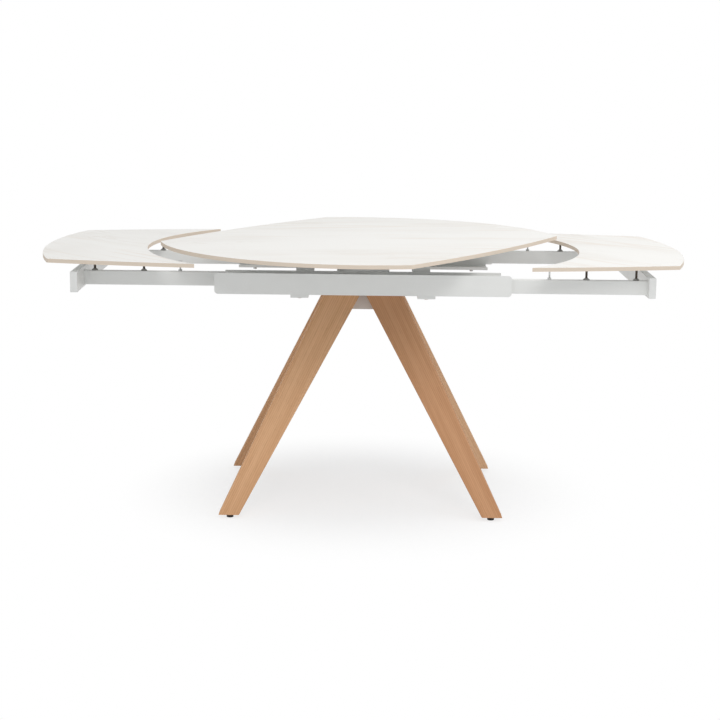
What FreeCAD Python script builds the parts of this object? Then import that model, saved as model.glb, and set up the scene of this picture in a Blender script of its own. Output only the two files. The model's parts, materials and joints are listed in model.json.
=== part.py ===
import FreeCAD, Part
import os
import re
import Sketcher

# Extending dining table. X runs along the table, Y across it, Z up from the floor under its middle.
# The centre panel is turned and the leaves are drawn out, as they stand while the table is being opened.
# Each row is a name, its size in millimetres (degrees for the turn) and what it measures.
SIZES = (
    ("tableHeight", 754, "floor to the top of the leaves"),
    ("topThickness", 11, "thickness of the panel and the leaves"),
    ("panelStep", 25, "rise of the turned panel above the leaves"),
    ("panelTurn", 57, "turn of the panel from in line with the leaves"),
    ("panelRadius", 600, "radius of the panel's round ends"),
    ("panelHalfWidth", 451, "middle of the top to its long edge"),
    ("sideRadius", 3600, "gentle curve of the long edges"),
    ("panelCornerRadius", 8, "rounding of the panel's corners"),
    ("leafGap", 3, "joint between panel and leaf when closed up"),
    ("leafLength", 300, "leaf past the panel's round end"),
    ("leafEndRadius", 1100, "curve of the leaf's end"),
    ("leafCornerRadius", 10, "rounding of the leaf's corners"),
    ("leafDraw", 33, "how far each leaf is drawn past its closed-up place"),
    ("footRadius", 10, "foot pad radius"),
    ("footHeight", 16, "foot pad height"),
    ("footChamfer", 2, "chamfer under the foot pad"),
    ("legTopIn", 4.5, "table's middle to the leg's inner edge at the top"),
    ("legTopWidth", 108, "leg width at the top"),
    ("legFootIn", 347, "table's middle to the leg's inner edge at the foot"),
    ("legFootWidth", 59, "leg width at the foot"),
    ("legTopY", 42, "table's middle to the leg's mid-plane at the top"),
    ("legFootY", 280, "table's middle to the leg's mid-plane at the foot"),
    ("legDepth", 43, "leg depth, measured level"),
    ("hubHeight", 54, "leg hub below the leg tops"),
    ("hubHalfLength", 95, "half length of the leg hub's wedge"),
    ("hubWall", 5, "wall of the wedge"),
    ("hubPlateThickness", 6, "plate over the leg tops"),
    ("hubPlateHalfLength", 125, "half length of that plate"),
    ("hubPlateMargin", 5, "plate edge outside the bearers"),
    ("legBoltInset", 46, "leg's inner edge to its first bolt"),
    ("legBoltPitch", 42, "between the two bolts of a leg"),
    ("legBoltDepth", 38, "leg bolt length in the wood"),
    ("boltRadius", 4, "shank of the frame bolts"),
    ("boltHeadRim", 2, "bolt heads and nuts past the shank"),
    ("boltHeadHeight", 5, "head height of the frame bolts"),
    ("nutHeight", 4, "low nuts inside the housings"),
    ("boltClearance", 0.3, "bolt hole past the shank"),
    ("boltEnd", 1, "bolt end past the wall it is screwed into"),
    ("holeSpare", 2, "blind hole past the end of its bolt"),
    ("bearerGap", 3.5, "bearer outside the legs' tops"),
    ("bearerWidth", 30, "bearer tube width"),
    ("bearerHeight", 17, "bearer tube height"),
    ("bearerEnd", 13, "bearer end outside the cross member"),
    ("hubBoltInset", 17, "hub bolts in from the hub plate's ends"),
    ("crossX", 177, "table's middle to a cross member"),
    ("crossWidth", 50, "cross member width"),
    ("crossHeight", 10, "cross member height"),
    ("crossSetback", 10, "cross member end inside the housing's face"),
    ("tubeWall", 2.5, "wall of the frame tubes"),
    ("deckThickness", 6, "plate under the pedestal"),
    ("deckGap", 7, "deck plate to cross member"),
    ("deckBoltInset", 20, "deck bolts in from the deck's ends"),
    ("frameInset", 106, "housing's face in from the top's long edge"),
    ("faceRise", 11.5, "housing's face above the rails"),
    ("wallRise", 2, "middle wall above the housing's face"),
    ("lipHeight", 6, "housing's inner lip above the trough's floor"),
    ("sheetThickness", 2.5, "sheet of the housings"),
    ("wallHalfLength", 386, "half length of the housing's troughs"),
    ("webOverhang", 27, "housing's face past its troughs"),
    ("webCornerRadius", 10, "rounded corners of the housing's face"),
    ("railHeight", 40, "rail height"),
    ("railWidth", 20, "rail width"),
    ("railWall", 2.5, "rail wall"),
    ("nutGap", 1, "rail above the nuts in the trough"),
    ("railSideGap", 12.5, "outer rail to the housing's face"),
    ("railInnerEnd", 10, "table's middle to the drawn-out rail's inner end"),
    ("shoeFootWidth", 13, "glide shoe's foot beside the rail"),
    ("shoeLength", 60, "glide shoe length"),
    ("shoeNear", 70, "table's middle to the inner shoe"),
    ("shoeInset", 50, "outer shoe's middle in from the trough's end"),
    ("tailShoeCover", 2, "low tail shoe over its bolt hole"),
    ("slideClearance", 0.4, "between sliding pieces"),
    ("shoeBoltRadius", 2.5, "shank of the shoe bolts"),
    ("shoeBoltHeadRim", 3.5, "shoe bolt head past the shank"),
    ("shoeBoltHeadHeight", 5, "head height of the shoe bolts"),
    ("shoeBoltDepth", 12, "shoe bolt length in the shoe"),
    ("postX", 163, "table's middle to a support post"),
    ("postWidth", 50, "support post along the table"),
    ("postDepth", 39, "support post across the table"),
    ("postWall", 3, "support post wall"),
    ("postGap", 6, "support post to its neighbours"),
    ("postCapHeight", 8, "solid cap of the support post"),
    ("beamInset", 122, "end beam's outer face in from the leaf's end"),
    ("beamThickness", 20, "end beam thickness"),
    ("beamHeight", 57, "end beam height"),
    ("beamLift", 2, "end beam above the housing's underside"),
    ("beamOverhang", 15, "end beam past the housing's face"),
    ("beamCapThickness", 3, "plug face over the end of the beam"),
    ("levelHeight", 35.5, "rails to the underside of the leaves"),
    ("levelFarInset", 172, "outer levelling feet in from the leaf's end"),
    ("levelNearInset", 11, "inner levelling feet inside the panel's reach"),
    ("levelRadius", 3, "levelling screw"),
    ("levelBaseRadius", 9, "cone base on the rail"),
    ("levelNeckRadius", 4, "top of the cone base"),
    ("levelBaseHeight", 8, "height of the cone base"),
    ("restInset", 114, "panel rests inside the panel's reach"),
    ("restRadius", 2.5, "panel rest screw"),
    ("restBaseRadius", 6, "panel rest lock nut"),
    ("restBaseHeight", 5, "height of the lock nut"),
    ("pedestalRadius", 78, "pedestal body"),
    ("pedestalFlangeWidth", 14, "pedestal's foot flange past its body"),
    ("pedestalFlangeHeight", 6, "thickness of that flange"),
    ("pedestalShoulderWidth", 18, "sloping shoulder between body and rim"),
    ("pedestalRimHeight", 6, "upright part of the rim that carries the lift pin"),
    ("pedestalWall", 8, "pedestal wall"),
    ("pedestalBossWall", 12, "boss round the bush"),
    ("pedestalBoltRadius", 3, "shank of the pedestal bolts"),
    ("pedestalBoltAngle", 30, "pedestal bolts from the table's long axis"),
    ("rimGap", 14, "lowered swivel plate above the pedestal's rim"),
    ("bushWall", 4, "bush wall"),
    ("swivelRadius", 30, "swivel tube's outside"),
    ("swivelWall", 4, "swivel tube's wall"),
    ("swivelFit", 0.05, "running gap between swivel tube and bush"),
    ("swivelPlateRadius", 200, "plate under the panel"),
    ("swivelPlateThickness", 8, "thickness of that plate"),
    ("pinRadius", 7, "lift pin"),
    ("pinSetback", 4, "lift pin's ends inside the rim"),
    ("pinGap", 0.4, "lift pin above the rim and inside its slot"),
    ("panelScrewInset", 35, "panel screws in from the swivel plate's edge"),
    ("panelScrewRadius", 3, "shank of the panel screws"),
    ("panelScrewHeadRim", 3, "panel screw head past the shank"),
    ("panelScrewHeadHeight", 3, "head height of the panel screws"),
    ("panelScrewCover", 4, "board left over the panel screws"),
    ("cutOver", 1, "cutting solid past the face it cuts"),
)
NAMES = {row[0] for row in SIZES}

# Heights, from the leaves down to the legs, and up again to the panel.
LEAF_UNDER = "(tableHeight - topThickness)"
REST_TOP = f"({LEAF_UNDER} - slideClearance)"
RAIL_TOP = f"({LEAF_UNDER} - levelHeight)"
FACE_TOP = f"({RAIL_TOP} + faceRise)"
RAIL_BOTTOM = f"({RAIL_TOP} - railHeight)"
TROUGH_FLOOR = f"({RAIL_BOTTOM} - nutGap - nutHeight)"
TAIL_SHOE_TOP = f"({TROUGH_FLOOR} + shoeBoltDepth + holeSpare + tailShoeCover)"
FRAME_BOTTOM = f"({TROUGH_FLOOR} - sheetThickness)"
BEARER_TOP = f"({FRAME_BOTTOM} - crossHeight)"
DECK_TOP = f"({BEARER_TOP} + deckThickness)"
HUB_TOP = f"({BEARER_TOP} - bearerHeight)"
LEG_TOP = f"({HUB_TOP} - hubPlateThickness)"
PANEL_UNDER = f"({LEAF_UNDER} + panelStep)"
SWIVEL_UNDER = f"({PANEL_UNDER} - swivelPlateThickness)"
RIM_TOP = f"({SWIVEL_UNDER} - panelStep - rimGap)"
SHOULDER = f"({RIM_TOP} - pedestalRimHeight - pedestalShoulderWidth)"
BEAM_LOW = f"({FRAME_BOTTOM} + beamLift)"
PIN_MIDDLE = f"({RIM_TOP} + pinGap + pinRadius)"

# Distances from the table's middle across it, from the housing's face inwards.
FACE = "(panelHalfWidth - frameInset)"
WEB_IN = f"({FACE} - sheetThickness)"
OUTER_RAIL = f"({WEB_IN} - railSideGap)"
MID_WALL = f"({OUTER_RAIL} - railWidth - shoeFootWidth)"
POST_OUT = f"({MID_WALL} - sheetThickness - postGap)"
INNER_RAIL = f"({POST_OUT} - postDepth - postGap)"
INNER_WALL = f"({INNER_RAIL} - railWidth - shoeFootWidth)"
BEAM_SIDE = f"({FACE} + beamOverhang)"
CROSS_BOLT_Y = f"({OUTER_RAIL} - railWidth / 2)"
BEARER_IN = "(legTopY + legDepth / 2 + bearerGap)"
BEARER_Y = f"({BEARER_IN} + bearerWidth / 2)"
BEARER_OUT = f"({BEARER_IN} + bearerWidth)"
PLATE_SIDE = f"({BEARER_OUT} + hubPlateMargin)"
LEG_SLOPE = f"((legFootY - legTopY) / ({LEG_TOP} - footHeight))"
LEG_BOLT_Y = f"(legTopY + {LEG_SLOPE} * legBoltDepth / 2)"

# Distances from the table's middle along it, and radii about its upright axis.
LEAF_END = "(panelRadius + leafLength)"
BEAM_IN = f"({LEAF_END} + leafDraw - beamInset - beamThickness)"
LEVEL_SPOTS = {"far": f"({LEAF_END} - levelFarInset + leafDraw)",
               "near": "(panelRadius - levelNearInset + leafDraw)"}
BEAM_OUT = f"({BEAM_IN} + beamThickness)"
REST_X = "(panelRadius - restInset + leafDraw)"
SHOE_ROWS = {"near": "shoeNear",
             "far": "(wallHalfLength - shoeInset)",
             "tail": "(shoeInset - wallHalfLength)"}
LEG_BOLT_NEAR = "(legTopIn + legBoltInset)"
HUB_BOLT_X = "(hubPlateHalfLength - hubBoltInset)"
DECK_END = "(crossX - crossWidth / 2 - deckGap)"
DECK_BOLT_X = f"({DECK_END} - deckBoltInset)"
BUSH_BORE = "(swivelRadius + swivelFit)"
PEDESTAL_BORE = f"({BUSH_BORE} + bushWall)"
RIM_RADIUS = "(pedestalRadius - pedestalShoulderWidth)"
FLANGE_RADIUS = "(pedestalRadius + pedestalFlangeWidth)"
PEDESTAL_BOLT_CIRCLE = "(pedestalRadius + pedestalFlangeWidth / 2)"
PEDESTAL_BOLT = (f"{PEDESTAL_BOLT_CIRCLE} * cos(pedestalBoltAngle)",
                 f"{PEDESTAL_BOLT_CIRCLE} * sin(pedestalBoltAngle)")
PANEL_SCREW_CIRCLE = "(swivelPlateRadius - panelScrewInset)"
PANEL_SCREW_DEPTH = "(topThickness - panelScrewCover)"
BOLT_HOLE = "(boltRadius + boltClearance)"
BOLT_HEAD = "(boltRadius + boltHeadRim)"
PEDESTAL_BOLT_HOLE = "(pedestalBoltRadius + boltClearance)"
PEDESTAL_BOLT_HEAD = "(pedestalBoltRadius + boltHeadRim)"
SHOE_BOLT_HOLE = "(shoeBoltRadius + boltClearance)"
PANEL_SCREW_HOLE = "(panelScrewRadius + boltClearance)"

doc = FreeCAD.newDocument("extending_table")
sheet = doc.addObject("Spreadsheet::Sheet", "Sizes")
for line, (alias, number, meaning) in enumerate(SIZES, start=1):
    sheet.set(f"A{line}", meaning)
    sheet.set(f"B{line}", str(number))
    sheet.setAlias(f"B{line}", alias)
doc.recompute()

pieces = []


def linked(text):
    return re.sub(r"[A-Za-z]\w*", lambda word: f"Sizes.{word[0]}" if word[0] in NAMES else word[0], text)


def value(text):
    return float(sheet.evalExpression(linked(text)))


def bind(item, path, text):
    item.setExpression(path, linked(text))


def signed(sign, text):
    return text if sign > 0 else f"-({text})"


def piece(item, name):
    item.Label = name
    pieces.append(item)
    return item


def new_body(name):
    return piece(doc.addObject("PartDesign::Body", f"{name}_body"), name)


def origin_plane(body, role):
    return next(item for item in body.Origin.OriginFeatures if item.Role == role)


def new_sketch(body, role, name, offset="0"):
    sketch = body.newObject("Sketcher::SketchObject", name)
    sketch.AttachmentSupport = [(origin_plane(body, role), "")]
    sketch.MapMode = "FlatFace"
    bind(sketch, "AttachmentOffset.Base.z", offset)
    return sketch


def pin_point(sketch, geometry, point, u, v):
    for kind, text in (("DistanceX", u), ("DistanceY", v)):
        place = sketch.addConstraint(Sketcher.Constraint(kind, geometry, point, value(text)))
        bind(sketch, f"Constraints[{place}]", text)


def add_outline(sketch, points):
    first = sketch.GeometryCount
    corners = [FreeCAD.Vector(value(u), value(v), 0) for u, v in points]
    count = len(corners)
    for i in range(count):
        sketch.addGeometry(Part.LineSegment(corners[i], corners[(i + 1) % count]), False)
    for i, (u, v) in enumerate(points):
        sketch.addConstraint(Sketcher.Constraint("Coincident", first + i, 2, first + (i + 1) % count, 1))
        pin_point(sketch, first + i, 1, u, v)


def add_circle(sketch, u, v, radius):
    middle = FreeCAD.Vector(value(u), value(v), 0)
    ring = sketch.addGeometry(Part.Circle(middle, FreeCAD.Vector(0, 0, 1), value(radius)), False)
    pin_point(sketch, ring, 3, u, v)
    place = sketch.addConstraint(Sketcher.Constraint("Radius", ring, value(radius)))
    bind(sketch, f"Constraints[{place}]", radius)


def rectangle(u0, u1, v0, v1):
    return [(u0, v0), (u1, v0), (u1, v1), (u0, v1)]


def pad(body, sketch, length):
    feature = body.newObject("PartDesign::Pad", f"{sketch.Name}_pad")
    feature.Profile = sketch
    bind(feature, "Length", length)
    return feature


def extrude(body, role, outlines, start, length, name):
    sketch = new_sketch(body, role, name, start)
    for points in outlines:
        add_outline(sketch, points)
    return pad(body, sketch, length)


def drill(body, role, spots, radius, name):
    sketch = new_sketch(body, role, name)
    for u, v in spots:
        add_circle(sketch, u, v, radius)
    bore = body.newObject("PartDesign::Pocket", f"{name}_bore")
    bore.Profile = sketch
    bore.Type = "ThroughAll"
    bore.SideType = "Symmetric"
    return bore


def four_corners(x, y):
    return [(signed(sx, x), signed(sy, y)) for sx in (-1, 1) for sy in (-1, 1)]


def cylinder(name, radius, x, y, bottom, height):
    solid = doc.addObject("Part::Cylinder", name)
    bind(solid, "Radius", radius)
    bind(solid, "Height", height)
    for axis, text in zip("xyz", (x, y, bottom)):
        bind(solid, f"Placement.Base.{axis}", text)
    return solid


def cone(name, low, high, x, y, bottom, height):
    solid = doc.addObject("Part::Cone", name)
    bind(solid, "Radius1", low)
    bind(solid, "Radius2", high)
    bind(solid, "Height", height)
    for axis, text in zip("xyz", (x, y, bottom)):
        bind(solid, f"Placement.Base.{axis}", text)
    return solid


def fuse(name, shapes):
    joined = doc.addObject("Part::MultiFuse", name)
    joined.Shapes = shapes
    joined.Refine = True
    return joined


def group(name, solids):
    together = doc.addObject("Part::Compound", f"{name}_group")
    together.Links = solids
    return piece(together, name)


def bolts(name, spots, steps):
    # Each bolt is a stack of coaxial cylinders: radius, underside and height.
    made = []
    for number, (x, y) in enumerate(spots, start=1):
        stack = [cylinder(f"{name}_{number}_{i}", radius, x, y, bottom, height)
                 for i, (radius, bottom, height) in enumerate(steps)]
        made.append(fuse(f"{name}_{number}", stack))
    group(name, made)


# Legs: flat tapered boards that splay outwards and towards the front or the back.
def leg_bolt_rows():
    return (LEG_BOLT_NEAR, f"{LEG_BOLT_NEAR} + legBoltPitch")


def make_leg(name, sx, sy):
    body = new_body(name)
    sections = []
    for level, height, inner, width, middle in (
            ("foot", "footHeight", "legFootIn", "legFootWidth", "legFootY"),
            ("top", LEG_TOP, "legTopIn", "legTopWidth", "legTopY")):
        section = new_sketch(body, "XY_Plane", f"{name}_{level}", height)
        across = [signed(sx, inner), signed(sx, f"{inner} + {width}")]
        deep = [signed(sy, f"{middle} - legDepth / 2"), signed(sy, f"{middle} + legDepth / 2")]
        add_outline(section, rectangle(*across, *deep))
        sections.append(section)
    taper = body.newObject("PartDesign::AdditiveLoft", f"{name}_taper")
    taper.Profile = sections[0]
    taper.Sections = sections[1:]
    taper.Ruled = True
    doc.recompute()
    holes = new_sketch(body, "XY_Plane", f"{name}_holes", LEG_TOP)
    for x in leg_bolt_rows():
        add_circle(holes, signed(sx, x), signed(sy, LEG_BOLT_Y), BOLT_HOLE)
    bore = body.newObject("PartDesign::Pocket", f"{name}_bore")
    bore.Profile = holes
    bind(bore, "Length", "legBoltDepth + holeSpare")


def make_foot(name, sx, sy):
    x = signed(sx, "legFootIn + legFootWidth / 2")
    y = signed(sy, "legFootY")
    lower = cone(f"{name}_chamfer", "footRadius - footChamfer", "footRadius", x, y, "0", "footChamfer")
    upper = cylinder(f"{name}_disc", "footRadius", x, y, "footChamfer", "footHeight - footChamfer")
    piece(fuse(f"{name}_joined", [lower, upper]), name)


# Leg hub: a hollow wedge that fills the space between the front and back legs, under one plate.
def make_leg_hub():
    body = new_body("leg_hub")
    low = f"{LEG_TOP} - hubHeight"
    roof = f"{LEG_TOP} - hubWall"
    top_half = "legTopY - legDepth / 2"
    low_half = f"({top_half} + hubHeight * {LEG_SLOPE})"
    skin = f"hubWall * sqrt(1 + {LEG_SLOPE}^2)"
    inner_low = f"({low_half} - {skin})"
    inner_top = f"({top_half} + hubWall * {LEG_SLOPE} - {skin})"
    half = [(inner_top, roof), (inner_low, low), (low_half, low), (top_half, LEG_TOP)]
    wedge = half + [(signed(-1, y), z) for y, z in reversed(half)]
    extrude(body, "YZ_Plane", [wedge], "-hubHalfLength", "2 * hubHalfLength", "wedge")
    plate = rectangle("-hubPlateHalfLength", "hubPlateHalfLength", signed(-1, PLATE_SIDE), PLATE_SIDE)
    extrude(body, "XY_Plane", [plate], LEG_TOP, "hubPlateThickness", "hub_plate")
    doc.recompute()
    spots = [spot for x in leg_bolt_rows() for spot in four_corners(x, LEG_BOLT_Y)]
    drill(body, "XY_Plane", spots + four_corners(HUB_BOLT_X, BEARER_Y), BOLT_HOLE, "hub_holes")


# Frame tubes: both ends are closed by a plate.
def closed_tube(body, role, outside, inside, end, name):
    extrude(body, role, [outside, inside], signed(-1, end), f"2 * {end}", f"{name}_tube")
    for i, start in enumerate((signed(-1, end), f"{end} - tubeWall")):
        extrude(body, role, [outside], start, "tubeWall", f"{name}_end_{i}")
    doc.recompute()


# Bearers: two tubes along the table that carry the cross members.
def make_bearer(name, sy):
    body = new_body(name)
    end = "(crossX + crossWidth / 2 + bearerEnd)"
    outside = rectangle(signed(sy, BEARER_IN), signed(sy, BEARER_OUT), HUB_TOP, BEARER_TOP)
    inside = rectangle(signed(sy, f"{BEARER_IN} + tubeWall"), signed(sy, f"{BEARER_OUT} - tubeWall"),
                       f"{HUB_TOP} + tubeWall", f"{BEARER_TOP} - tubeWall")
    closed_tube(body, "YZ_Plane", outside, inside, end, name)
    rows = (HUB_BOLT_X, "crossX", DECK_BOLT_X)
    spots = [(signed(sx, x), signed(sy, BEARER_Y)) for x in rows for sx in (-1, 1)]
    drill(body, "XY_Plane", spots, BOLT_HOLE, f"{name}_holes")


# Cross members: two flat tubes across the table, under both housings.
def make_cross_member(name, sx):
    body = new_body(name)
    end = f"({FACE} - crossSetback)"
    half = "crossWidth / 2"
    outside = rectangle(signed(sx, f"crossX - {half}"), signed(sx, f"crossX + {half}"),
                        BEARER_TOP, FRAME_BOTTOM)
    inside = rectangle(signed(sx, f"crossX - {half} + tubeWall"), signed(sx, f"crossX + {half} - tubeWall"),
                       f"{BEARER_TOP} + tubeWall", f"{FRAME_BOTTOM} - tubeWall")
    closed_tube(body, "XZ_Plane", outside, inside, end, name)
    spots = [(signed(sx, "crossX"), signed(sy, y)) for y in (BEARER_Y, CROSS_BOLT_Y) for sy in (-1, 1)]
    drill(body, "XY_Plane", spots, BOLT_HOLE, f"{name}_holes")


# Housings: folded sheet. A longer face with round corners, a middle wall and a low inner lip leave two
# troughs, one for each pair of rails.
def make_housing(name, sy):
    body = new_body(name)
    wall_top = f"({FACE_TOP} + wallRise)"
    lip_top = f"({TROUGH_FLOOR} + lipHeight)"
    lip_in = f"({INNER_WALL} - sheetThickness)"
    mid_in = f"({MID_WALL} - sheetThickness)"
    fold = [(FACE, FRAME_BOTTOM), (FACE, FACE_TOP), (WEB_IN, FACE_TOP), (WEB_IN, TROUGH_FLOOR),
            (MID_WALL, TROUGH_FLOOR), (MID_WALL, wall_top), (mid_in, wall_top), (mid_in, TROUGH_FLOOR),
            (INNER_WALL, TROUGH_FLOOR), (INNER_WALL, lip_top), (lip_in, lip_top), (lip_in, FRAME_BOTTOM)]
    profile = [(signed(sy, y), z) for y, z in fold]
    extrude(body, "YZ_Plane", [profile], "-wallHalfLength", "2 * wallHalfLength", f"{name}_fold")
    web_end = "(wallHalfLength + webOverhang)"
    face = rectangle(signed(-1, web_end), web_end, FRAME_BOTTOM, FACE_TOP)
    start = WEB_IN if sy < 0 else signed(-1, FACE)
    web = extrude(body, "XZ_Plane", [face], start, "sheetThickness", f"{name}_web")
    doc.recompute()
    corners = [f"Edge{i}" for i, edge in enumerate(body.Shape.Edges, start=1)
               if abs(edge.CenterOfMass.x) > value(web_end) - 0.01
               and abs(edge.tangentAt(edge.FirstParameter).y) > 0.99]
    rounding = body.newObject("PartDesign::Fillet", f"{name}_corners")
    rounding.Base = (web, corners)
    bind(rounding, "Radius", "webCornerRadius")
    doc.recompute()
    spots = [(signed(sx, "crossX"), signed(sy, CROSS_BOLT_Y)) for sx in (-1, 1)]
    drill(body, "XY_Plane", spots, BOLT_HOLE, f"{name}_cross_holes")
    doc.recompute()
    drill(body, "XY_Plane", shoe_bolt_spots(sy), SHOE_BOLT_HOLE, f"{name}_shoe_holes")


# Glide shoes: an L-shaped block whose tongue runs inside the open side of a rail. The low tail shoe, past
# the table's middle, holds the rail's inner end down when the leaf is pushed in.
def shoe_bolt_spots(sy):
    lines = ((1, f"{MID_WALL} + shoeFootWidth / 2"), (-1, f"{INNER_WALL} + shoeFootWidth / 2"))
    return [(signed(sx, x), signed(sy, y)) for sx, y in lines for x in SHOE_ROWS.values()]


def make_shoes(name, sx, sy, wall, rail):
    tongue_low = f"{RAIL_BOTTOM} + railWall + slideClearance"
    tongue_high = f"{RAIL_TOP} - railWall - slideClearance"
    tongue_end = f"{rail} - railWall - slideClearance"
    foot_end = f"{rail} - railWidth - slideClearance"
    blocks = []
    for row, x in SHOE_ROWS.items():
        top = TAIL_SHOE_TOP if row == "tail" else tongue_high
        outline = [(wall, TROUGH_FLOOR), (foot_end, TROUGH_FLOOR), (foot_end, tongue_low),
                   (tongue_end, tongue_low), (tongue_end, top), (wall, top)]
        profile = [(signed(sy, y), z) for y, z in outline]
        body = doc.addObject("PartDesign::Body", f"{name}_{row}")
        start = f"{signed(sx, x)} - shoeLength / 2"
        extrude(body, "YZ_Plane", [profile], start, "shoeLength", f"{name}_{row}_block")
        doc.recompute()
        hole = new_sketch(body, "XY_Plane", f"{name}_{row}_hole", TROUGH_FLOOR)
        add_circle(hole, signed(sx, x), signed(sy, f"{wall} + shoeFootWidth / 2"), SHOE_BOLT_HOLE)
        bore = body.newObject("PartDesign::Pocket", f"{name}_{row}_bore")
        bore.Profile = hole
        bore.Reversed = True
        bind(bore, "Length", "shoeBoltDepth + holeSpare")
        blocks.append(body)
    group(name, blocks)


# Support posts: box posts between the troughs, with a cap that carries a leaf's tip or the lowered panel.
def make_post(name, sx, sy):
    body = new_body(name)
    half = "postWidth / 2"
    along = [signed(sx, f"postX - {half}"), signed(sx, f"postX + {half}")]
    along_in = [signed(sx, f"postX - {half} + postWall"), signed(sx, f"postX + {half} - postWall")]
    across = [signed(sy, f"{POST_OUT} - postDepth"), signed(sy, POST_OUT)]
    across_in = [signed(sy, f"{POST_OUT} - postDepth + postWall"), signed(sy, f"{POST_OUT} - postWall")]
    outside = rectangle(*along, *across)
    inside = rectangle(*along_in, *across_in)
    cap = f"{REST_TOP} - postCapHeight"
    extrude(body, "XY_Plane", [outside, inside], TROUGH_FLOOR, f"{cap} - {TROUGH_FLOOR}", f"{name}_walls")
    extrude(body, "XY_Plane", [outside], cap, "postCapHeight", f"{name}_cap")


# Leaf frames: two rails, an end beam with plugged ends, levelling feet and panel rests, drawn out together.
def make_rail(name, sx, sy, rail):
    body = new_body(name)
    mouth = f"{rail} - railWidth"
    back = f"{rail} - railWall"
    channel = [(rail, RAIL_BOTTOM), (rail, RAIL_TOP), (mouth, RAIL_TOP), (mouth, f"{RAIL_TOP} - railWall"),
               (back, f"{RAIL_TOP} - railWall"), (back, f"{RAIL_BOTTOM} + railWall"),
               (mouth, f"{RAIL_BOTTOM} + railWall"), (mouth, RAIL_BOTTOM)]
    profile = [(signed(sy, y), z) for y, z in channel]
    start = "railInnerEnd" if sx > 0 else signed(-1, BEAM_IN)
    extrude(body, "YZ_Plane", [profile], start, f"{BEAM_IN} - railInnerEnd", f"{name}_channel")


def make_beam(name, sx):
    body = new_body(name)
    outside = [signed(sx, BEAM_IN), signed(sx, BEAM_OUT)]
    inside = [signed(sx, f"{BEAM_IN} + tubeWall"), signed(sx, f"{BEAM_OUT} - tubeWall")]
    walls = [rectangle(*outside, BEAM_LOW, f"{BEAM_LOW} + beamHeight"),
             rectangle(*inside, f"{BEAM_LOW} + tubeWall", f"{BEAM_LOW} + beamHeight - tubeWall")]
    half = f"({BEAM_SIDE} - beamCapThickness)"
    extrude(body, "XZ_Plane", walls, signed(-1, half), f"2 * {half}", f"{name}_tube")


def make_beam_plugs(name, sx):
    plugs = []
    corner = BEAM_IN if sx > 0 else signed(-1, BEAM_OUT)
    for end, y in (("front", signed(-1, BEAM_SIDE)), ("rear", f"{BEAM_SIDE} - beamCapThickness")):
        plug = doc.addObject("Part::Box", f"{name}_{end}")
        bind(plug, "Length", "beamThickness")
        bind(plug, "Width", "beamCapThickness")
        bind(plug, "Height", "beamHeight")
        for axis, text in zip("xyz", (corner, y, BEAM_LOW)):
            bind(plug, f"Placement.Base.{axis}", text)
        plugs.append(plug)
    group(name, plugs)


def make_levelling_feet(name, sx, rail):
    feet = []
    for row, x in LEVEL_SPOTS.items():
        for side, sy in (("front", -1), ("rear", 1)):
            label = f"{name}_{row}_{side}"
            place = (signed(sx, x), signed(sy, f"{rail} - railWidth / 2"), RAIL_TOP)
            base = cone(f"{label}_base", "levelBaseRadius", "levelNeckRadius", *place, "levelBaseHeight")
            screw = cylinder(f"{label}_screw", "levelRadius", *place, "levelHeight")
            feet.append(fuse(label, [base, screw]))
    group(name, feet)


def make_panel_rests(name, sx, rail):
    spots = [(signed(sx, REST_X), signed(sy, f"{rail} - railWidth / 2")) for sy in (-1, 1)]
    bolts(name, spots, [("restBaseRadius", RAIL_TOP, "restBaseHeight"),
                        ("restRadius", RAIL_TOP, f"{REST_TOP} - {RAIL_TOP}")])


# Tops: every edge is an arc, so each outline is the part shared by a few large discs.
def side_discs(name, bottom):
    reach = "(sideRadius - panelHalfWidth)"
    return [cylinder(f"{name}_side_{i}", "sideRadius", "0", signed(sy, reach), bottom, "topThickness")
            for i, sy in enumerate((-1, 1))]


def is_upright(edge):
    return len(edge.Vertexes) == 2 and abs(edge.tangentAt(edge.FirstParameter).z) > 0.99


def round_uprights(name, base, radius, wanted):
    doc.recompute()
    size = value(radius)
    rounded = doc.addObject("Part::Fillet", f"{name}_rounded")
    rounded.Base = base
    rounded.Edges = [(i, size, size) for i, edge in enumerate(base.Shape.Edges, start=1)
                     if is_upright(edge) and wanted(edge)]
    return piece(rounded, name)


def make_leaf(name, sx):
    block = doc.addObject("Part::Box", f"{name}_block")
    bind(block, "Length", LEAF_END)
    bind(block, "Width", "2 * panelHalfWidth")
    bind(block, "Height", "topThickness")
    bind(block, "Placement.Base.y", "-panelHalfWidth")
    bind(block, "Placement.Base.z", LEAF_UNDER)
    end_x = f"{LEAF_END} - leafEndRadius"
    end = cylinder(f"{name}_end", "leafEndRadius", end_x, "0", LEAF_UNDER, "topThickness")
    board = doc.addObject("Part::MultiCommon", f"{name}_board")
    board.Shapes = [block, end] + side_discs(name, LEAF_UNDER)
    hollow = cylinder(f"{name}_hollow", "panelRadius + leafGap", "0", "0", f"{LEAF_UNDER} - cutOver",
                      "topThickness + 2 * cutOver")
    shaped = doc.addObject("Part::Cut", f"{name}_shaped")
    shaped.Base = board
    shaped.Tool = hollow
    leaf = round_uprights(name, shaped, "leafCornerRadius",
                          lambda edge: edge.CenterOfMass.x > value("panelRadius"))
    bind(leaf, "Placement.Base.x", signed(sx, "leafDraw"))
    bind(leaf, "Placement.Rotation.Angle", "0" if sx > 0 else "180")


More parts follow.
